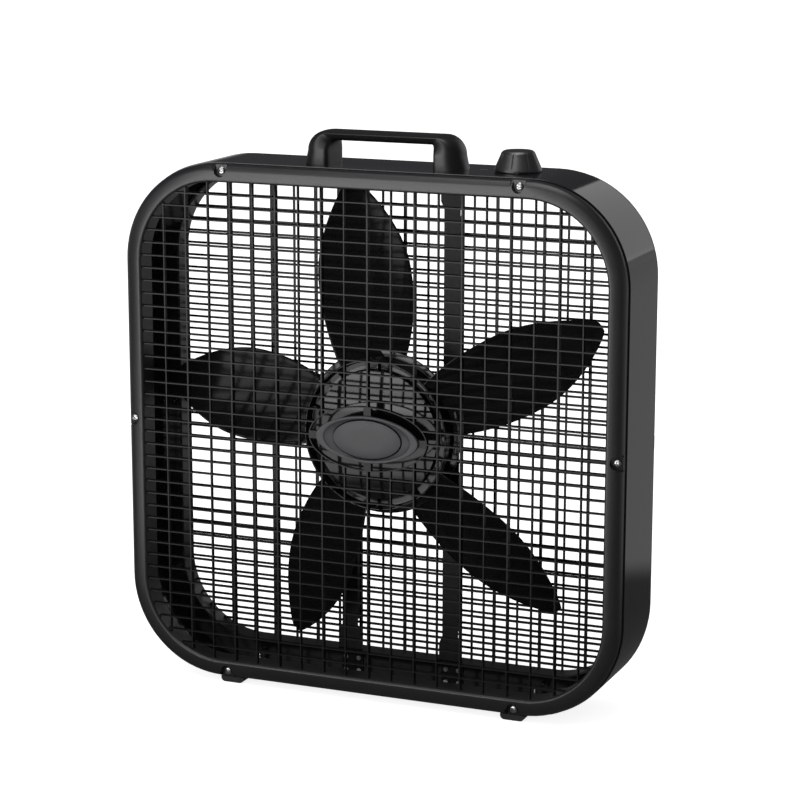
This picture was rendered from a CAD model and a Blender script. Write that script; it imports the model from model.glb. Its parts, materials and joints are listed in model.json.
import json
import math

import bmesh
import bpy
from bpy.props import FloatProperty, FloatVectorProperty, IntProperty, PointerProperty
from mathutils import Matrix, Vector


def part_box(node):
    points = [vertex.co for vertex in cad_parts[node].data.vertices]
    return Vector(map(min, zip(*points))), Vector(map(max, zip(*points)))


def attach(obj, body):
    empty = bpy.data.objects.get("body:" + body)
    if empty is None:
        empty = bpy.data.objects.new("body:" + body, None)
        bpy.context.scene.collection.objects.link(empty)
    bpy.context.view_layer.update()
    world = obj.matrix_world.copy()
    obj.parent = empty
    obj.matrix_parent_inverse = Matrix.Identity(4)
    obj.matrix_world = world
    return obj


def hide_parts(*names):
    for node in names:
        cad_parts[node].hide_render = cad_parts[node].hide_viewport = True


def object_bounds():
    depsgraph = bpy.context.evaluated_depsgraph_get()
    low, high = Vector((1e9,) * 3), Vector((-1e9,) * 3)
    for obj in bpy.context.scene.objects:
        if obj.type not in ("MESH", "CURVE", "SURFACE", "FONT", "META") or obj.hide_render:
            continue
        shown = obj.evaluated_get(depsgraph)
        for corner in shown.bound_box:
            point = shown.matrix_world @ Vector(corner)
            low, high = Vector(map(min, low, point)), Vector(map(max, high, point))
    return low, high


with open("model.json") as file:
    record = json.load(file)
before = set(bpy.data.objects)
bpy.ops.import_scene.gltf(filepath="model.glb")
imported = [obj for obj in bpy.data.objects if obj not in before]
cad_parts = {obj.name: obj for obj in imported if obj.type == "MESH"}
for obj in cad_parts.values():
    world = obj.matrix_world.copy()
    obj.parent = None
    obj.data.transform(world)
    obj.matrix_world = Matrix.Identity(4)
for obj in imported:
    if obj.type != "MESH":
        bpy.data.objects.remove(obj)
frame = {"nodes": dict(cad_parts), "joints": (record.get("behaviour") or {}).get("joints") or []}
CAD_BOX = [list(corner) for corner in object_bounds()]

bl_info = {
    "name": "Box Fan Finish",
    "version": (1, 0, 0),
    "blender": (4, 5, 0),
    "location": "3D View > Sidebar > Box Fan",
    "description": "Gives the box fan its finishes, its small mouldings and a studio stage",
    "category": "Object",
}

MM = 0.001
TAU = 2 * math.pi
X, Y, Z = range(3)
WHITE = (1, 1, 1, 1)

BAR_FACE = 50  # from the middle plane to the outer faces of the bars, in millimetres
LOW_BEARING = math.radians(23)  # the low panels' to the left, like the camera's to the right

# Name, place, the point it faces or None for straight up, width, height and watts.
LAMPS = (
    ("key", (-1.2, -3.6, 1.5), (0, 0, 0.3), 4.2, 2.4, 30),
    ("low_near", (-0.468, -1.105, 0.003), None, 1.3, 1.2, 10),
    ("low_far", (-1.1, -2.6, 0.003), None, 1.3, 1.7, 32),
    ("card", (-1.42, -3.36, 0.5), (0, 0, 0.5), 1.4, 0.9, 16),
    ("high", (-0.3, -2.3, 3.2), (0, 0, 0.5), 2.4, 1.3, 17),
    ("top", (0.1, -0.3, 2.9), (0, 0, 0.3), 1.8, 1.8, 24),
    ("rear", (0.85, 2.9, 1.12), (0.1, 0, 0.4), 2.0, 1.2, 4.8),
)


# ---------- Shader expressions ----------


class Wire:
    """One output of a shader node, written as a number in ordinary expressions."""

    def __init__(self, board, socket):
        self.board, self.socket = board, socket

    def maths(self, operation, *values):
        return self.board.node("ShaderNodeMath", {"operation": operation}, list(values))

    def __add__(self, other):
        return self.maths("ADD", self, other)

    def __radd__(self, other):
        return self.maths("ADD", other, self)

    def __sub__(self, other):
        return self.maths("SUBTRACT", self, other)

    def __rsub__(self, other):
        return self.maths("SUBTRACT", other, self)

    def __mul__(self, other):
        return self.maths("MULTIPLY", self, other)

    def __rmul__(self, other):
        return self.maths("MULTIPLY", other, self)

    def sine(self):
        return self.maths("SINE", self)

    def clamp(self):
        return self.board.node("ShaderNodeClamp", {}, [self])

    def ramp(self, low, high):
        """0 below low, 1 above high and a smooth step between."""
        return self.board.node(
            "ShaderNodeMapRange", {"interpolation_type": "SMOOTHSTEP"}, [self, low, high])


class Board:
    """The nodes of one material or world."""

    def __init__(self, owner):
        owner.use_nodes = True
        self.tree = owner.node_tree
        self.tree.nodes.clear()

    def node(self, kind, settings=None, values=(), output=0):
        """Adds a node: its settings first, then its inputs, by position or by name."""
        made = self.tree.nodes.new(kind)
        for key, value in (settings or {}).items():
            setattr(made, key, value)
        pairs = values.items() if isinstance(values, dict) else enumerate(values)
        for key, value in pairs:
            if isinstance(value, Wire):
                self.tree.links.new(value.socket, made.inputs[key])
            else:
                made.inputs[key].default_value = value
        return Wire(self, made.outputs[output])

    def place(self, kind="Object"):
        """Where a point lies, in the object's own frame unless another kind is named."""
        return self.node("ShaderNodeTexCoord", output=kind)

    def ray(self, kind):
        """1 for the rays of one kind, 0 for the others."""
        return self.node("ShaderNodeLightPath", output=kind)

    def looked_at(self):
        """1 for a ray from the camera, straight or through something clear."""
        return (self.ray("Is Camera Ray") + self.ray("Is Transmission Ray")).clamp()

    def axis(self, vector, index):
        """One of a vector's three numbers."""
        return self.node("ShaderNodeSeparateXYZ", {}, [vector], index)

    def stretch(self, vector, scale):
        return self.node("ShaderNodeMapping", {}, {"Vector": vector, "Scale": scale})

    def noise(self, vector, scale, detail=2.0, roughness=0.5):
        return self.node("ShaderNodeTexNoise", {}, {
            "Vector": vector, "Scale": scale, "Detail": detail, "Roughness": roughness})

    def blend(self, factor, first, second):
        """A colour between two others."""
        return self.node(
            "ShaderNodeMix", {"data_type": "RGBA"}, {0: factor, 6: first, 7: second}, 2)

    def bump(self, height, distance):
        return self.node("ShaderNodeBump", {}, {
            "Height": height, "Distance": distance, "Strength": 1.0})

    def finish(self, shader, kind="ShaderNodeOutputMaterial"):
        """Ends the tree in the output of a material or a world."""
        out = self.tree.nodes.new(kind)
        self.tree.links.new(shader.socket, out.inputs["Surface"])

    def principled(self, inputs):
        """Ends a material in the standard shader."""
        self.finish(self.node("ShaderNodeBsdfPrincipled", {}, inputs))


def rgba(colour, gain):
    """A colour made darker or brighter, and opaque."""
    return tuple(min(1.0, c * gain) for c in colour[:3]) + (1.0,)


def surface(name):
    """A new material and the board for its nodes."""
    material = bpy.data.materials.new(name)
    return material, Board(material)


def enamel(name, colour):
    """Baked enamel on sheet steel: glossy, with a faint orange peel and a little dust."""
    material, b = surface(name)
    where = b.place()
    peel = b.noise(where, scale=420.0)
    cloud = b.noise(where, scale=9.0, detail=3.0)
    dust = b.noise(where, scale=160.0, detail=4.0, roughness=0.7).ramp(0.62, 0.78)
    tone = b.blend(cloud * 0.5 + dust * 0.12, rgba(colour, 0.85), rgba(colour, 1.35))
    b.principled({
        "Base Color": tone, "Roughness": 0.06 + 0.05 * cloud + 0.05 * dust,
        "IOR": 1.5, "Normal": b.bump(peel, 0.01 * MM)})
    return material


def moulding(name, colour, gloss, grain=0.03 * MM, ior=1.5):
    """Moulded plastic with a fine spark-eroded grain and slightly paler wear."""
    material, b = surface(name)
    where = b.place()
    fine = b.noise(where, scale=2600.0)
    cloud = b.noise(where, scale=14.0, detail=3.0)
    tone = b.blend(cloud, rgba(colour, 0.86), rgba(colour, 1.16))
    b.principled({
        "Base Color": tone, "Roughness": gloss + 0.1 * (cloud - 0.5) + 0.06 * fine,
        "IOR": ior, "Normal": b.bump(fine, grain)})
    return material


def metal(name, colour, gloss=0.32, lines=(1.0, 1.0, 1.0), scale=900.0):
    """Plain or plated metal with fine scratches along one way."""
    material, b = surface(name)
    where = b.place()
    scratch = b.noise(b.stretch(where, lines), scale, detail=3.0, roughness=0.6)
    cloud = b.noise(where, scale=60.0)
    tone = b.blend(scratch, rgba(colour, 0.8), rgba(colour, 1.1))
    b.principled({
        "Base Color": tone, "Metallic": 1.0,
        "Roughness": gloss + 0.14 * (scratch - 0.5) + 0.1 * (cloud - 0.5),
        "Normal": b.bump(scratch, 0.01 * MM)})
    return material


def layered(name, colour, pitch, metallic, gloss):
    """Metal in thin layers from front to back: laminations or turns of wire."""
    material, b = surface(name)
    height = 0.5 + 0.5 * (b.axis(b.place(), Y) * (TAU / pitch)).sine()
    tone = b.blend(height, rgba(colour, 0.45), rgba(colour, 1.1))
    b.principled({
        "Base Color": tone, "Metallic": metallic, "Roughness": gloss,
        "Normal": b.bump(height, 0.1 * MM)})
    return material


def felt(name, colour):
    """Dull, fuzzy felt."""
    material, b = surface(name)
    fuzz = b.noise(b.place(), scale=1800.0, detail=5.0, roughness=0.7)
    tone = b.blend(fuzz, rgba(colour, 0.6), rgba(colour, 1.1))
    b.principled({"Base Color": tone, "Roughness": 0.95, "Normal": b.bump(fuzz, 0.3 * MM)})
    return material


# ---------- Mesh helpers ----------


def bridge(bm, first, second):
    """Faces between two closed rings; a ring of one vertex is a pole."""
    for k in range(max(len(first), len(second))):
        a, b = first[k % len(first)], first[(k + 1) % len(first)]
        c, d = second[(k + 1) % len(second)], second[k % len(second)]
        bm.faces.new([v for i, v in enumerate((a, b, c, d)) if v not in (a, b, c, d)[:i]])


def loft(bm, rings):
    """Closed skin through rings of points; the ends are poles or flat caps."""
    made = [[bm.verts.new(point) for point in points] for points in rings]
    for first, second in zip(made, made[1:]):
        bridge(bm, first, second)
    for end in (made[0], made[-1]):
        if len(end) > 2:
            bm.faces.new(end)


def lathe(profile, steps, place=Matrix()):
    """Rings about local Z for a profile of (radius, height) pairs, in metres."""
    rings = []
    for radius, height in profile:
        count = steps if radius > 1e-6 else 1
        rings.append([place @ Vector((radius * math.cos(TAU * k / count),
                                      radius * math.sin(TAU * k / count), height))
                      for k in range(count)])
    return rings


def rounded(profile, radius, steps):
    """An open profile with each inner corner rounded, as far as its sides allow."""
    points = [profile[0]]
    for before, corner, after in zip(profile, profile[1:], profile[2:]):
        corner = Vector(corner)
        back, on = Vector(before) - corner, Vector(after) - corner
        reach = min(radius, 0.45 * back.length, 0.45 * on.length)
        p, q = corner + back.normalized() * reach, corner + on.normalized() * reach
        for k in range(steps + 1):
            t = k / steps
            points.append(tuple(p * (1 - t) ** 2 + 2 * corner * t * (1 - t) + q * t * t))
    return points + [profile[-1]]


def carve(bm, tool):
    """One closed mesh less another."""
    blanks = []
    for part in (bm, tool):
        bmesh.ops.recalc_face_normals(part, faces=part.faces)
        mesh = bpy.data.meshes.new("blank")
        part.to_mesh(mesh)
        part.free()
        blanks.append(bpy.data.objects.new("blank", mesh))
        bpy.context.scene.collection.objects.link(blanks[-1])
    cut = blanks[0].modifiers.new("cut", "BOOLEAN")
    cut.operation, cut.solver, cut.object = "DIFFERENCE", "EXACT", blanks[1]
    result = bmesh.new()
    result.from_object(blanks[0], bpy.context.evaluated_depsgraph_get())
    for blank in blanks:
        bpy.data.meshes.remove(blank.data)
    return result


def piece(name, bm, material, body, crease):
    """Links a finished mesh, smooth up to a crease angle in degrees, and hangs it on a body."""
    bmesh.ops.recalc_face_normals(bm, faces=bm.faces)
    for face in bm.faces:
        face.smooth = True
    for edge in bm.edges:
        if len(edge.link_faces) == 2:
            edge.smooth = edge.calc_face_angle() < math.radians(crease)
    mesh = bpy.data.meshes.new(name)
    bm.to_mesh(mesh)
    bm.free()
    mesh.materials.append(material)
    made = bpy.data.objects.new(name, mesh)
    bpy.context.scene.collection.objects.link(made)
    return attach(made, body)


def solids(node):
    """The separate solids of a CAD node, each as a list of its points."""
    bm = bmesh.new()
    bm.from_mesh(frame["nodes"][node].data)
    bmesh.ops.remove_doubles(bm, verts=bm.verts, dist=1e-6)
    left, found = set(bm.verts), []
    for start in bm.verts:
        if start not in left:
            continue
        left.remove(start)
        queue, group = [start], []
        while queue:
            vert = queue.pop()
            group.append(vert.co.copy())
            for edge in vert.link_edges:
                other = edge.other_vert(vert)
                if other in left:
                    left.remove(other)
                    queue.append(other)
        found.append(group)
    bm.free()
    return found


# ---------- Helpers for the model and the stage ----------


def pivot(body):
    """The place of the joint that a body turns on."""
    return next(joint for joint in frame["joints"] if joint["child"] == body)["pos_m"]


def centre(node):
    """The middle of a CAD node's box."""
    low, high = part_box(node)
    return (low + high) / 2


def paint(nodes, material):
    """Gives CAD nodes one material."""
    for name in nodes:
        slots = frame["nodes"][name].data.materials
        slots.clear()
        slots.append(material)


def palette(context):
    """The colours that are set in the panel."""
    return context.scene.boxfan_colours


def aim_at(thing, target):
    """Turns the camera or a lamp to face a point."""
    look = Vector(target) - thing.location
    thing.rotation_euler = look.to_track_quat("-Z", "Y").to_euler()


# ---------- Settings ----------


class FanColours(bpy.types.PropertyGroup):
    """Colours of the fan's finishes."""

    enamel: FloatVectorProperty(
        name="Body enamel", description="Colour of the painted steel body",
        subtype="COLOR", size=3, min=0, max=1, default=(0.012, 0.012, 0.0135))
    moulding: FloatVectorProperty(
        name="Grille plastic", description="Colour of the grilles, the handle and the knob",
        subtype="COLOR", size=3, min=0, max=1, default=(0.013, 0.013, 0.0142))
    blades: FloatVectorProperty(
        name="Blade plastic", description="Colour of the blades and the hub",
        subtype="COLOR", size=3, min=0, max=1, default=(0.006, 0.006, 0.0066))
    badge: FloatVectorProperty(
        name="Badge plastic", description="Colour of the bare oval badge",
        subtype="COLOR", size=3, min=0, max=1, default=(0.045, 0.045, 0.048))
    zinc: FloatVectorProperty(
        name="Screw plating", description="Colour of the zinc-plated screws",
        subtype="COLOR", size=3, min=0, max=1, default=(0.62, 0.62, 0.61))
    print_grey: FloatVectorProperty(
        name="Printed numerals", description="Colour of the numerals beside the knob",
        subtype="COLOR", size=3, min=0, max=1, default=(0.16, 0.16, 0.165))


class FanSizes(bpy.types.PropertyGroup):
    """Counts and sizes of the pieces that are made here, in metres."""

    blades: IntProperty(
        name="Blades", description="Number of fan blades", min=2, max=9, default=5)
    stations: IntProperty(
        name="Blade stations", description="Sections lofted along each blade",
        min=8, max=80, default=44)
    hub_radius: FloatProperty(
        name="Hub radius", description="Outside of the hub's ring",
        subtype="DISTANCE", unit="LENGTH", default=76 * MM)
    moat: FloatProperty(
        name="Hub moat", description="Width of the channel between the cup and the ring",
        subtype="DISTANCE", unit="LENGTH", default=11.5 * MM)
    recess: FloatProperty(
        name="Screw recess", description="Length of the cross recess in a screw head",
        subtype="DISTANCE", unit="LENGTH", default=4.2 * MM)
    grooves: IntProperty(
        name="Knob grooves", description="Number of grooves down the knob's side",
        min=4, max=16, default=8)
    groove_depth: FloatProperty(
        name="Knob groove", description="Depth of the grooves down the knob",
        subtype="DISTANCE", unit="LENGTH", default=0.45 * MM)
    numeral: FloatProperty(
        name="Numeral height", description="Height of the numerals beside the knob",
        subtype="DISTANCE", unit="LENGTH", default=4.2 * MM)


# ---------- Operators ----------


class BOXFAN_OT_stage(bpy.types.Operator):
    """Sets the camera, the floor, the lamps and the world"""

    bl_idname = "boxfan.stage"
    bl_label = "Stage"

    def execute(self, context):
        scene = context.scene
        scene.view_settings.view_transform = "Standard"
        camera = bpy.data.objects.new("camera", bpy.data.cameras.new("camera"))
        scene.collection.objects.link(camera)
        camera.location = (0.9861, -2.3263, 0.8410)
        aim_at(camera, (0, 0.00075, 0.2699))
        camera.data.lens = 117.1
        camera.data.shift_x = 0.0158
        camera.data.shift_y = 0.0358
        camera.data.clip_end = 80
        scene.camera = camera
        self.floor(scene)
        self.lamps(scene)
        self.world(scene)
        return {"FINISHED"}

    def floor(self, scene):
        """A white sheet, whose look in the fan's gloss is set apart from its own look."""
        half = 16  # metres
        mesh = bpy.data.meshes.new("floor")
        corners = [(-half, -half, 0), (half, -half, 0), (half, half, 0), (-half, half, 0)]
        mesh.from_pydata(corners, [], [(0, 1, 2, 3)])
        floor = bpy.data.objects.new("floor", mesh)
        scene.collection.objects.link(floor)
        material, b = surface("stage_white")
        place = b.node("ShaderNodeNewGeometry", output="Position")
        away = b.node("ShaderNodeVectorMath", {"operation": "LENGTH"}, [place], "Value")
        white = b.node("ShaderNodeBsdfDiffuse", {}, {"Color": (0.8, 0.8, 0.8, 1)})
        # A touch dimmer round the fan than from 2.6 m out.
        glow = b.node("ShaderNodeEmission", {}, {
            "Color": WHITE, "Strength": b.looked_at() * (0.84 + 0.16 * away.ramp(0.5, 2.6))})
        # Dim close to the fan and in front of it, brighter behind it.
        behind = away.ramp(0.62, 0.72) * b.axis(place, Y).ramp(0.0, 0.3)
        sheen = b.node("ShaderNodeEmission", {}, {
            "Color": WHITE, "Strength": 0.07 + 0.27 * behind})
        lit = b.node("ShaderNodeAddShader", {}, [white, glow])
        b.finish(b.node("ShaderNodeMixShader", {}, [b.ray("Is Glossy Ray"), lit, sheen]))
        mesh.materials.append(material)

    def lamps(self, scene):
        """Area lamps, which the camera doesn't see."""
        for name, place, aim, wide, high, watts in LAMPS:
            lamp = bpy.data.objects.new(name, bpy.data.lights.new(name, "AREA"))
            lamp.data.shape = "RECTANGLE"
            lamp.data.size, lamp.data.size_y = wide, high
            lamp.data.energy = watts
            lamp.location = place
            if aim is None:
                lamp.rotation_euler = (math.pi, 0, -LOW_BEARING)
            else:
                aim_at(lamp, aim)
            lamp.visible_camera = False
            scene.collection.objects.link(lamp)

    def world(self, scene):
        """White to the camera, pale to matt faces, dark with a paler horizon to glossy ones."""
        scene.world = bpy.data.worlds.new("studio")
        b = Board(scene.world)
        height = b.axis(b.place("Generated"), Z)
        horizon, above = (0.36, 0.36, 0.37, 1), (0.055, 0.055, 0.059, 1)
        sky = b.node("ShaderNodeBackground", {}, {
            "Color": b.blend(height.ramp(0.0, 0.06), horizon, above)})
        room = b.node("ShaderNodeBackground", {}, {"Color": WHITE, "Strength": 0.3})
        white = b.node("ShaderNodeBackground", {}, {"Color": WHITE})
        around = b.node("ShaderNodeMixShader", {}, [b.ray("Is Glossy Ray"), room, sky])
        b.finish(b.node("ShaderNodeMixShader", {}, [b.looked_at(), around, white]),
                 "ShaderNodeOutputWorld")


class BOXFAN_OT_rotor(bpy.types.Operator):
    """Lofts the five swept blades and turns the hub with its moat, ring and rear flange"""

    bl_idname = "boxfan.rotor"
    bl_label = "Fan rotor"

    def execute(self, context):
        sizes = context.scene.boxfan_sizes
        middle = pivot("fan")[Z]
        hub_only = 70 * MM  # the radius inside which no blade reaches
        points = [(math.hypot(v.co.x, v.co.z - middle), v.co.y)
                  for v in frame["nodes"]["fan_blade"].data.vertices]
        front = min(y for radius, y in points if radius < hub_only)
        reach = max(radius for radius, y in points)
        bm = bmesh.new()
        place = Matrix.Translation((0, front, middle)) @ Matrix.Rotation(-math.pi / 2, 4, "X")
        loft(bm, lathe(self.hub_profile(sizes), steps=160, place=place))
        sections = self.blade(sizes, front, reach)
        for k in range(sizes.blades):
            turn = Matrix.Rotation(TAU * k / sizes.blades, 3, "Y")
            loft(bm, [[turn @ point + Vector((0, 0, middle)) for point in section]
                      for section in sections])
        for group in self.gussets(sizes, front, middle):
            loft(bm, group)
        plastic = moulding(
            "blade_black", palette(context).blades, gloss=0.08, grain=0.003 * MM, ior=1.45)
        rotor = piece("rotor", bm, plastic, "fan", crease=40)
        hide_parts("fan_blade")
        return {"FINISHED"}

    def hub_profile(self, sizes):
        """A closed half section: a domed cup, a moat, the ring and the flange behind it."""
        hub, wall, deep = sizes.hub_radius, 2.2 * MM, 22 * MM
        cup, dome, floor = hub - sizes.moat, 3.5 * MM, 12 * MM
        flange, fillet = hub + 7 * MM, 1.1 * MM
        boss, boss_end = 11 * MM, 15 * MM
        curve = (cup * cup + dome * dome) / (2 * dome)
        face = [(r, curve - math.sqrt(curve * curve - r * r))
                for r in (cup * k / 12 for k in range(13))]
        outside = rounded(face[-1:] + [
            (cup, floor), (hub - wall, floor), (hub - wall, 0), (hub, 0),
            (hub, deep - wall), (flange, deep - wall), (flange, deep),
            (hub - wall, deep), (hub - wall, floor + wall), (cup - wall, floor + wall),
            (cup - wall, dome + wall), (boss, wall + 0.3 * MM), (boss, boss_end)],
            fillet, steps=3)
        return face[:-1] + outside + [(0, boss_end)]

    def blade(self, sizes, front, reach):
        """Sections of one blade from its root in the ring to its rounded tip."""
        root, mid, tip = 66 * MM, 93 * MM, 48 * MM
        pitch, rake, camber = math.radians(23), 32 * MM, 0.05
        thick, thinning, root_swell = 2.6 * MM, 0.35, 1.4 * MM
        bearings = 24.2, 26.4, 28.3  # of the root, the middle and the tip, in degrees
        last = 0.988  # the skin closes a little short of the tip
        inner = sizes.hub_radius - 1.1 * MM
        start = front + root / 2 * math.sin(pitch) + 0.8 * MM
        around = 40

        def through(a, b, c, s):
            """A smooth curve through a at 0, b at a half and c at 1."""
            return a * 2 * (s - 0.5) * (s - 1) + b * 4 * s * (1 - s) + c * 2 * s * (s - 0.5)

        sections = []
        for i in range(sizes.stations + 1):
            s = last * math.sin(math.pi / 2 * i / sizes.stations)
            radius = inner + s * (reach - inner)
            end = 1 if s < 0.5 else math.sqrt(1 - (2 * s - 1) ** 2)
            chord = through(root, mid, tip, s) * end
            body = thick * (1 - thinning * s) + root_swell * (1 - s) ** 4
            section = []
            for j in range(around):
                a = TAU * j / around
                along = chord / 2 * math.cos(a)
                out = body / 2 * math.sin(a) - camber * chord * math.sin(a) ** 2
                turn = math.radians(through(*bearings, s)) + (
                    along * math.cos(pitch) - out * math.sin(pitch)) / radius
                y = start + rake * s - along * math.sin(pitch) - out * math.cos(pitch)
                section.append(Vector((radius * math.cos(turn), y, radius * math.sin(turn))))
            sections.append(section)
        return sections

    def gussets(self, sizes, front, middle):
        """Small webs across the moat, which tie the cup to the ring."""
        groups = []
        inner, outer = sizes.hub_radius - sizes.moat - 0.5 * MM, sizes.hub_radius - 1.5 * MM
        count, horn = 10, 2 * MM
        foot, horn_top, waist_top = 12.5, 6.5, 7.6  # behind the hub's front, in millimetres
        wide, narrow = 0.7, 0.45
        for k in range(count):
            turn = Matrix.Rotation(TAU * (k + 0.5) / count, 3, "Y")
            group = []
            for radius, top in ((inner, horn_top), (inner + horn, waist_top),
                                (outer - horn, waist_top), (outer, horn_top)):
                corners = [(-wide, foot), (wide, foot), (narrow, top), (-narrow, top)]
                group.append([turn @ Vector((radius, front + h * MM, x * MM))
                              + Vector((0, 0, middle)) for x, h in corners])
            groups.append(group)
        return groups


class BOXFAN_OT_grilles(bpy.types.Operator):
    """Drafts the bars of both grilles, eases their screw bosses and crowns their rims"""

    bl_idname = "boxfan.grilles"
    bl_label = "Grilles"

    def execute(self, context):
        colour = palette(context).moulding
        rim = moulding("grille_black", colour, gloss=0.34, grain=0.02 * MM, ior=1.62)
        bars = moulding("bar_black", [0.5 * c for c in colour],
                        gloss=0.3, grain=0.01 * MM, ior=1.36)
        for node, made_name in (("front_grille", "front_guard"), ("rear_grille", "rear_guard")):
            bm = bmesh.new()
            bm.from_mesh(frame["nodes"][node].data)
            bmesh.ops.remove_doubles(bm, verts=bm.verts, dist=1e-6)
            self.draft(bm)
            self.ease(bm)
            guard = piece(made_name, bm, rim, "housing", crease=30)
            mesh = guard.data
            mesh.materials.append(bars)
            middle, proud = centre(node).z, (BAR_FACE + 0.02) * MM
            for face in mesh.polygons:
                flat = all(abs(mesh.vertices[k].co.y) < proud for k in face.vertices)
                face.material_index = int(flat and self.within(face.center, middle))
            self.crown(mesh, middle)
            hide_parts(node)
        return {"FINISHED"}

    def crown(self, mesh, middle):
        """Shades the rim's flat face as gently crowned, falling away towards its outer edge."""
        half, corner, width = 263.5 * MM, 100.5 * MM, 18.5 * MM
        fall, slope = math.radians(22), 0.62  # at the outer edge, over this share of the width
        upward = 0.3  # what the top half keeps of the lean's upward part
        rim_face = 48 * MM
        normals = [Vector(n.vector) for n in mesh.corner_normals]
        for face in mesh.polygons:
            if abs(face.center.y) < rim_face or abs(face.normal.y) < 0.1:
                continue
            for loop in face.loop_indices:
                point = mesh.vertices[mesh.loops[loop].vertex_index].co
                x, z = point.x, point.z - middle
                over_x = max(0.0, abs(x) - (half - corner))
                over_z = max(0.0, abs(z) - (half - corner))
                length = math.hypot(over_x, over_z) or 1.0
                share = min(1.0, max(0.0, (width - (corner - length)) / (slope * width)))
                out = Vector((math.copysign(over_x, x), 0, math.copysign(over_z, z))) / length
                normal = normals[loop]
                if out.dot(normal) < -0.05:
                    continue
                if z > 0:
                    out.z *= upward
                lean = fall * share * abs(normal.y)
                normals[loop] = (normal * math.cos(lean) + out * math.sin(lean)).normalized()
        mesh.normals_split_custom_set(normals)

    def within(self, point, middle):
        """Whether a point is inside the grille's opening, clear of its rim."""
        half, corner, margin = 245 * MM, 82 * MM, 0.4 * MM
        x, z = abs(point.x), abs(point.z - middle)
        if max(x, z) > half - margin:
            return False
        over_x, over_z = x - (half - corner), z - (half - corner)
        return min(over_x, over_z) < 0 or math.hypot(over_x, over_z) < corner - margin

    def edges(self, verts, axis, widest):
        """The two edges of every bar across an axis, from the places many corners share."""
        counts, many = {}, 18
        for vert in verts:
            key = round(vert.co[axis] / MM, 2)
            counts[key] = counts.get(key, 0) + 1
        lines = sorted(key for key, count in counts.items() if count >= many)
        found = {}
        for low, high in zip(lines, lines[1:]):
            if high - low < widest:
                found[low] = found[high] = ((low + high) / 2, high - low)
        return found

    def draft(self, bm):
        """Narrows each bar towards its outer face, and widens the ring behind the badge.

        Lengths are in millimetres. A bar has a width at its face and gains some for each
        millimetre inward.
        """
        wide_rib, fine_rib, wide_from = (1.5, 0.18), (1.1, 0.34), 2
        rung_face, rung_gain, rung_deep = 1.15, 0.43, 3
        thickest_rib, thickest_rung, deep, slack = 3.2, 2.0, 5, 0.02
        ring_x, ring_z, wider_x, wider_z, ring_slack = 60.8, 30.3, 62.0, 31.5, 0.004
        face = [v for v in bm.verts if abs(abs(v.co.y) - BAR_FACE * MM) < slack * MM]
        ribs, rungs = self.edges(face, X, thickest_rib), self.edges(face, Z, thickest_rung)
        middle = (min(v.co.z for v in bm.verts) + max(v.co.z for v in bm.verts)) / 2
        for vert in bm.verts:
            inward = BAR_FACE - abs(vert.co.y) / MM
            if not -slack < inward < deep + slack:
                continue
            rib = ribs.get(round(vert.co.x / MM, 2))
            if rib:
                line, thick = rib
                start, gain = wide_rib if thick > wide_from else fine_rib
                side = 1 if vert.co.x / MM > line else -1
                vert.co.x = (line + side * (start + gain * inward) / 2) * MM
            rung = rungs.get(round(vert.co.z / MM, 2))
            if rung:
                line, width = rung[0], rung_face + rung_gain * min(inward, rung_deep)
                side = 1 if vert.co.z / MM > line else -1
                vert.co.z = (line + side * width / 2) * MM
            x, z = vert.co.x / ring_x / MM, (vert.co.z - middle) / ring_z / MM
            if vert.co.y < 0 and abs(math.hypot(x, z) - 1) < ring_slack:
                vert.co.x *= wider_x / ring_x
                vert.co.z = middle + (vert.co.z - middle) * wider_z / ring_z

    def ease(self, bm):
        """Runs the ends of the screw bosses down with the rim's rounded edge."""
        half_wide, bottom, top = CAD_BOX[1][X], 6 * MM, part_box("body_band")[1].z
        boss_face, boss_end, rim_edge = 53.9 * MM, 1.7 * MM, 47.7 * MM
        for vert in bm.verts:
            edge = min(half_wide - abs(vert.co.x), vert.co.z - bottom, top - vert.co.z)
            if abs(vert.co.y) > boss_face and edge < boss_end:
                vert.co.y = math.copysign(rim_edge, vert.co.y)


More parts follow.
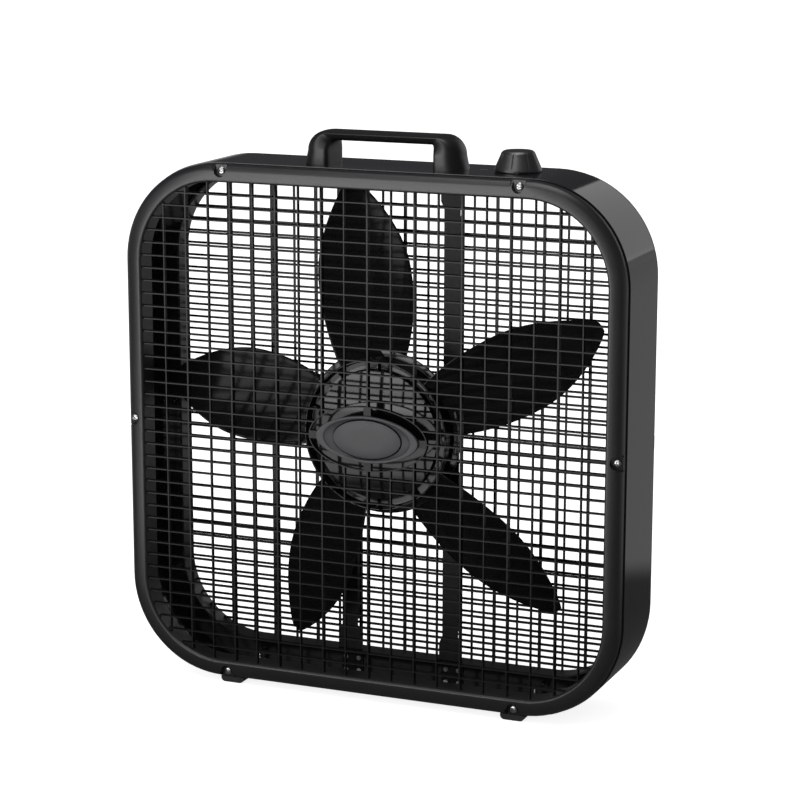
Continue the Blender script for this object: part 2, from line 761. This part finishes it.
class BOXFAN_OT_screws(bpy.types.Operator):
    """Makes the cross-recessed screws of the grilles, the handle and the feet"""

    bl_idname = "boxfan.screws"
    bl_label = "Screws"

    def execute(self, context):
        zinc = metal("zinc_screws", palette(context).zinc, gloss=0.22, scale=1500)
        recess = context.scene.boxfan_sizes.recess
        for node in ("front_screws", "rear_screws", "handle_screws", "foot_screws"):
            bm = bmesh.new()
            for points in solids(node):
                self.screw(bm, points, recess)
            made = piece(node.replace("screws", "cross_screws"), bm, zinc, "housing", crease=30)
            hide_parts(node)
        return {"FINISHED"}

    def screw(self, bm, points, recess):
        """One screw in the place of a plain one, its head at the same end."""
        low = Vector([min(p[k] for p in points) for k in (X, Y, Z)])
        high = Vector([max(p[k] for p in points) for k in (X, Y, Z)])
        size, middle = high - low, (low + high) / 2
        axis = max((X, Y, Z), key=lambda k: size[k])
        side = [k for k in (X, Y, Z) if k != axis]

        def out(p):
            """How far a point is from the screw's axis."""
            return math.hypot(p[side[0]] - middle[side[0]], p[side[1]] - middle[side[1]])

        head = size[side[0]] / 2
        wide = [p[axis] for p in points if out(p) > 0.98 * head]
        way = 1 if sum(wide) / len(wide) > middle[axis] else -1
        top = high[axis] if way > 0 else low[axis]
        tip = low[axis] if way > 0 else high[axis]
        shank = max(out(p) for p in points if abs(p[axis] - tip) < 0.1 * MM)
        seat = min(wide, key=lambda v: way * v)
        height, length = abs(top - seat), abs(seat - tip)
        edge, crown = 0.42, 0.58  # shares of the head's height
        dome = [(head * math.sin(t), height * (edge + crown * math.cos(t)))
                for t in (math.pi / 2 * k / 8 for k in range(9))]
        point, root, neck, pitch = shank * 0.35, shank * 0.82, shank * 0.86, 0.9 * MM
        profile = [(0, -length), (point, -length), (shank, -length + shank)]
        z = -length + shank + pitch
        while z < -1.6 * pitch:
            profile += [(root, z - pitch / 2), (shank, z)]
            z += pitch
        profile += [(neck, -0.3 * MM), (neck, 0), (head, 0)] + dome[::-1]
        blank, tool = bmesh.new(), bmesh.new()
        loft(blank, lathe(profile, steps=28))
        w, l, deep = 0.55 * MM, recess / 2, height * 0.72
        cross = ((w, w), (l, w), (l, -w), (w, -w), (w, -l), (-w, -l),
                 (-w, -w), (-l, -w), (-l, w), (-w, w), (-w, l), (w, l))
        loft(tool, [[Vector((x * k, y * k, z)) for x, y in cross] for k, z in (
            (0.45, height - deep), (1.0, height - 0.2 * MM), (1.1, height + MM))])
        cut = carve(blank, tool)
        forward = Vector([way if k == axis else 0 for k in (X, Y, Z)])
        turn = forward.to_track_quat("Z", "Y").to_matrix().to_4x4()
        at = middle.copy()
        at[axis] = seat
        # Every screw stops at an angle of its own, which follows from its place.
        stop = (at.x * 37.1 + at.y * 11.3 + at.z * 71.7) * 40
        cut.transform(Matrix.Translation(at) @ turn @ Matrix.Rotation(stop, 4, "Z"))
        mesh = bpy.data.meshes.new("screw")
        cut.to_mesh(mesh)
        cut.free()
        bm.from_mesh(mesh)
        bpy.data.meshes.remove(mesh)


class BOXFAN_OT_badge(bpy.types.Operator):
    """Moulds the bare badge: a pointed oval with a raised rim round a shallow oval dish"""

    bl_idname = "boxfan.badge"
    bl_label = "Badge plate"

    def execute(self, context):
        low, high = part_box("badge_plate")
        middle = (low + high) / 2
        half_w, half_h, thick = 54.5 * MM, (high.z - low.z) / 2, high.y - low.y
        around, power, edge = 192, 1.84, 0.8 * MM

        def ring(radius, depth):
            """A ring whose radius is a function of its angle."""
            return [Vector((middle.x + radius(t) * math.cos(t), low.y + depth,
                            middle.z + radius(t) * math.sin(t)))
                    for t in (TAU * k / around for k in range(around))]

        def pointed(inset, depth):
            """The softly pointed oval of the plate's edge."""

            def radius(t):
                c, s = abs(math.cos(t)) / half_w, abs(math.sin(t)) / half_h
                return (c ** power + s ** power) ** (-1 / power) - inset

            return ring(radius, depth)

        def oval(a, b, depth):
            """An ellipse."""
            return ring(lambda t: 1 / math.hypot(math.cos(t) / a, math.sin(t) / b), depth)

        a, b = 45.8 * MM, 20.8 * MM
        flat_a, flat_b = 36.8 * MM, 19.4 * MM
        groove, ledge, floor = 2.9 * MM, 1.25 * MM, 1.0 * MM
        rings = [pointed(0, thick), pointed(0, edge)]
        for k in range(1, 6):
            turn = math.pi / 2 * k / 5
            rings.append(pointed(edge * (1 - math.cos(turn)), edge * (1 - math.sin(turn))))
        rings += [oval(a + 0.5 * MM, b + 0.4 * MM, 0), oval(a + 0.1 * MM, b + 0.1 * MM, 0.15 * MM)]
        for k in range(9):
            f = k / 8
            rings.append(oval(a + (flat_a - a) * f, b + (flat_b + 0.5 * MM - b) * f,
                              (0.3 + 2.3 * f ** 0.8) * MM))
        rings += [oval(flat_a - 0.15 * MM, flat_b + 0.35 * MM, groove),
                  oval(flat_a - 0.9 * MM, flat_b - 0.4 * MM, groove),
                  oval(flat_a - 1.0 * MM, flat_b - 0.5 * MM, ledge),
                  oval(flat_a - 1.7 * MM, flat_b - 1.2 * MM, floor),
                  oval(flat_a / 2, flat_b / 2, floor),
                  [Vector((middle.x, low.y + floor, middle.z))]]
        bm = bmesh.new()
        loft(bm, rings)
        plastic = moulding(
            "badge_charcoal", palette(context).badge, gloss=0.36, grain=0.02 * MM, ior=1.4)
        plate = piece("badge", bm, plastic, "housing", crease=50)
        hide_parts("badge_plate")
        return {"FINISHED"}


class BOXFAN_OT_handle(bpy.types.Operator):
    """Lofts the carry handle: D-shaped pillars that run into a rounded, undercut grip"""

    bl_idname = "boxfan.handle"
    bl_label = "Carry handle"

    def execute(self, context):
        low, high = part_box("carry_handle")
        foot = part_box("body_band")[1].z
        half_l, half_d = (high.x - low.x) / 2, (high.y - low.y) / 2
        tall = high.z - foot
        pillar, grip = 29 * MM, 9.8 * MM
        gap_x, gap_z = half_l - pillar, tall - grip
        rise, reach, lean, tuck = 13 * MM, 22 * MM, 3 * MM, 5 * MM
        # Points of the outer line and of the gap's line, and the share of the way to the grip.
        pairs = []
        for k in range(9):
            z = rise * k / 8
            pairs.append(((half_l - lean * k / 8, z), (gap_x, z), 0.0))
        for k in range(1, 21):
            a = math.pi / 2 * k / 20
            over = 1 - math.cos(a)
            pairs.append((
                (half_l - lean - reach * over, rise + (tall - rise) * math.sin(a)),
                (gap_x - tuck * over, rise + (gap_z - rise) * math.sin(a)), k / 20))
        outer, inner = pairs[-1][0][0], pairs[-1][1][0]
        for k in range(1, 13):
            pairs.append(((outer * (1 - k / 12), tall), (inner * (1 - k / 12), gap_z), 1.0))
        pairs += [((-o[0], o[1]), (-i[0], i[1]), t) for o, i, t in pairs[-2::-1]]
        rings = [self.section(o, i, t, half_d, foot) for o, i, t in pairs]
        bm = bmesh.new()
        loft(bm, rings)
        plastic = moulding("handle_black", [0.45 * c for c in palette(context).moulding],
                           gloss=0.36, grain=0.01 * MM, ior=1.6)
        handle = piece("handle", bm, plastic, "housing", crease=40)
        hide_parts("carry_handle")
        return {"FINISHED"}

    def section(self, outer, inner, t, half_d, foot):
        """A ring between an outer and an inner point, widest at a share of the way out.

        From pillar to grip, t = 0 to 1, it grows slimmer, rounder inside and more undercut.
        """
        t = t * t * (3 - 2 * t)
        split = 0.38 + 0.34 * t
        outside, inside = 2.3 - 0.2 * t, 7.0 - 3.0 * t  # how square each half of the ring is
        deep, undercut = half_d - 2.2 * MM * t, 5.5 * MM
        o, i = Vector((outer[0], 0, outer[1])), Vector((inner[0], 0, inner[1]))
        middle = i + (o - i) * split
        points, around = [], 72
        for k in range(around):
            a = TAU * k / around
            c, s = math.cos(a), math.sin(a)
            power = 2 / (outside if c >= 0 else inside)
            end = o if c >= 0 else i
            point = middle + (end - middle) * abs(c) ** power
            under = 0.0 if c >= 0 else t * abs(c) ** power
            point.y = math.copysign((deep - undercut * under) * abs(s) ** power, s)
            points.append(point + Vector((0, 0, foot)))
        return points


class BOXFAN_OT_knob(bpy.types.Operator):
    """Turns the tapered speed knob, with eight fine grooves and a dished top"""

    bl_idname = "boxfan.knob"
    bl_label = "Speed knob"

    def execute(self, context):
        sizes = context.scene.boxfan_sizes
        low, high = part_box("speed_knob")
        x, y = pivot("knob")[:2]
        axis = Vector((x, y, low.z))
        height, base = high.z - low.z, (high.x - low.x) / 2
        skirt, waist, start = base - 1.2 * MM, base - 0.1 * MM, 1.6 * MM
        top, crown = base - 6.0 * MM, 4.2 * MM
        shoulder = height - crown
        # Radius and height of the skirt, then the taper, the round shoulder and the dished top.
        grip = [(skirt, 0), (skirt, 0.7 * MM), (base - 0.3 * MM, 0.7 * MM), (base, 1.0 * MM),
                (waist, start)]
        for k in range(1, 11):
            f = k / 10
            grip.append((waist + (top - base + 0.1 * MM) * f, start + (shoulder - start) * f))
        for k in range(1, 9):
            a = math.pi / 2 * k / 8
            grip.append((top - 3.6 * MM * (1 - math.cos(a)) - 0.9 * MM * math.sin(a),
                         shoulder + crown * math.sin(a)))
        dish = grip[-1][0] - 0.5 * MM
        for k in range(1, 8):
            f = k / 8
            grip.append((dish * (1 - f), height - 0.2 * MM - 2.6 * MM * (1 - (1 - f) ** 2)))
        bore, socket = 12 * MM, 8.0 * MM
        steps, half_wide = 24, 1.2  # points round from groove to groove, and to a groove's edge
        around, turned = steps * sizes.grooves, math.radians(25.5)
        rings = [[axis + Vector((0, 0, socket))]]
        for radius, z in [(bore, socket), (bore, 0)] + grip:
            points = []
            for k in range(around):
                a = TAU * (k + 0.5) / around
                local = abs((a - turned) * sizes.grooves / TAU % 1.0 - 0.5)
                side = max(0.0, min(1.0, (z - 1.5 * MM) / (1.0 * MM), (height - z) / (3 * MM)))
                if radius < dish + 0.2 * MM:
                    side = 0.0
                groove = sizes.groove_depth * max(0.0, 1 - local * steps / half_wide)
                r = radius - side * groove
                points.append(axis + Vector((r * math.cos(a), r * math.sin(a), z)))
            rings.append(points)
        rings.append([axis + Vector((0, 0, height - 2.8 * MM))])
        bm = bmesh.new()
        loft(bm, rings)
        bmesh.ops.remove_doubles(bm, verts=bm.verts, dist=1e-7)
        plastic = moulding(
            "knob_black", palette(context).moulding, gloss=0.34, grain=0.01 * MM, ior=2.1)
        knob = piece("knob", bm, plastic, "knob", crease=28)
        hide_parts("speed_knob")
        return {"FINISHED"}


class BOXFAN_OT_numerals(bpy.types.Operator):
    """Prints the speeds on the body, round the knob"""

    bl_idname = "boxfan.numerals"
    bl_label = "Speed numerals"

    def execute(self, context):
        sizes = context.scene.boxfan_sizes
        low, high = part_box("speed_knob")
        x, y, z = pivot("knob")
        bm, ink = bmesh.new(), 0.02 * MM
        # What it says, its bearing in degrees and its gap from the knob in millimetres.
        for label, turn, clear in (("OFF", 180, 12), ("3", 90, 8), ("2", 0, 8), ("1", 270, 8)):
            text = bpy.data.curves.new("numeral", "FONT")
            text.body, text.size = label, sizes.numeral
            text.align_x, text.align_y = "CENTER", "CENTER"
            text.extrude = ink
            made = bpy.data.objects.new("numeral", text)
            context.scene.collection.objects.link(made)
            context.view_layer.update()
            mesh = bpy.data.meshes.new_from_object(
                made.evaluated_get(context.evaluated_depsgraph_get()))
            far, away = (high.x - low.x) / 2 + clear * MM, math.radians(turn)
            mesh.transform(Matrix.Translation((
                x + far * math.cos(away), y + far * math.sin(away), z + ink)))
            bm.from_mesh(mesh)
            bpy.data.meshes.remove(mesh)
            bpy.data.objects.remove(made)
            bpy.data.curves.remove(text)
        print_mesh = piece("speed_numerals", bm, moulding(
            "numeral_print", palette(context).print_grey, gloss=0.5), "housing", crease=35)
        return {"FINISHED"}


class BOXFAN_OT_finishes(bpy.types.Operator):
    """Gives every part of the model that stays its finish"""

    bl_idname = "boxfan.finishes"
    bl_label = "Finishes"

    def execute(self, context):
        colours = palette(context)
        zinc = metal("zinc", colours.zinc)
        bronze = metal("sintered_bronze", (0.5, 0.33, 0.15), gloss=0.5, scale=2600)
        grey_steel = metal("ground_steel", (0.55, 0.55, 0.56), gloss=0.25, lines=(1, 0.05, 1))
        cast = metal("cast_aluminium", (0.45, 0.45, 0.46), gloss=0.5, scale=500)
        sheets = layered("laminations", (0.3, 0.3, 0.31), 0.5 * MM, metallic=1.0, gloss=0.45)
        turns = layered("copper_turns", (0.5, 0.2, 0.08), 0.8 * MM, metallic=0.9, gloss=0.35)
        posts = moulding("post_black", (0.012, 0.012, 0.012),
                         gloss=0.4, grain=0.01 * MM, ior=1.3)
        lead = moulding("lead_black", (0.02, 0.02, 0.02), gloss=0.55)
        paint(["body_band"], enamel("black_enamel", colours.enamel))
        paint(["foot_left", "foot_right"], moulding("foot_black", (0.02, 0.02, 0.02), gloss=0.5))
        paint(["post_rivets", "motor_screws", "motor_bolts", "hub_clip", "switch_nut"], zinc)
        paint(["post_left", "post_right"], posts)
        paint(["front_bracket", "rear_bracket"], cast)
        paint(["stator_core", "rotor_core"], sheets)
        paint(["stator_coils"], turns)
        paint(["front_bearing", "rear_bearing", "thrust_washers", "switch_terminals"], bronze)
        paint(["oil_felts"], felt("oiled_felt", (0.5, 0.46, 0.36)))
        paint(["motor_lead", "cord_bushing"], lead)
        paint(["switch_body"], moulding("switch_black", (0.03, 0.03, 0.03), gloss=0.5))
        paint(["motor_shaft", "switch_stem"], grey_steel)
        paint(["detent_wheel"], moulding("white_nylon", (0.7, 0.7, 0.68), gloss=0.4))
        # The nodes that finished pieces stand in for, which stay out of sight.
        paint(["fan_blade", "front_screws", "rear_screws", "handle_screws", "foot_screws",
               "badge_plate", "speed_knob", "carry_handle", "front_grille", "rear_grille"],
              moulding("hidden_black", colours.moulding, gloss=0.42))
        bare = [name for name, node in frame["nodes"].items()
                if not any(slot and slot.use_nodes for slot in node.data.materials)]
        if bare:
            raise RuntimeError(f"no finish on {bare}")
        return {"FINISHED"}


class BOXFAN_PT_panel(bpy.types.Panel):
    """Lists the fan's steps and colours"""

    bl_idname = "BOXFAN_PT_panel"
    bl_label = "Box Fan"
    bl_space_type = "VIEW_3D"
    bl_region_type = "UI"
    bl_category = "Box Fan"

    def draw(self, context):
        for operator in OPERATORS:
            self.layout.operator(operator.bl_idname)
        for group in (context.scene.boxfan_colours, context.scene.boxfan_sizes):
            for name in type(group).__annotations__:
                self.layout.prop(group, name)


OPERATORS = (
    BOXFAN_OT_stage, BOXFAN_OT_grilles, BOXFAN_OT_rotor, BOXFAN_OT_screws, BOXFAN_OT_badge,
    BOXFAN_OT_handle, BOXFAN_OT_knob, BOXFAN_OT_numerals, BOXFAN_OT_finishes)
CLASSES = (FanColours, FanSizes, *OPERATORS, BOXFAN_PT_panel)


def register():
    for item in CLASSES:
        bpy.utils.register_class(item)
    bpy.types.Scene.boxfan_colours = PointerProperty(type=FanColours)
    bpy.types.Scene.boxfan_sizes = PointerProperty(type=FanSizes)


def unregister():
    del bpy.types.Scene.boxfan_sizes
    del bpy.types.Scene.boxfan_colours
    for item in reversed(CLASSES):
        bpy.utils.unregister_class(item)


def main():
    """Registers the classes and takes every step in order."""
    register()
    for operator in OPERATORS:
        group, name = operator.bl_idname.split(".")
        getattr(getattr(bpy.ops, group), name)()


if __name__ == "__main__":
    main()
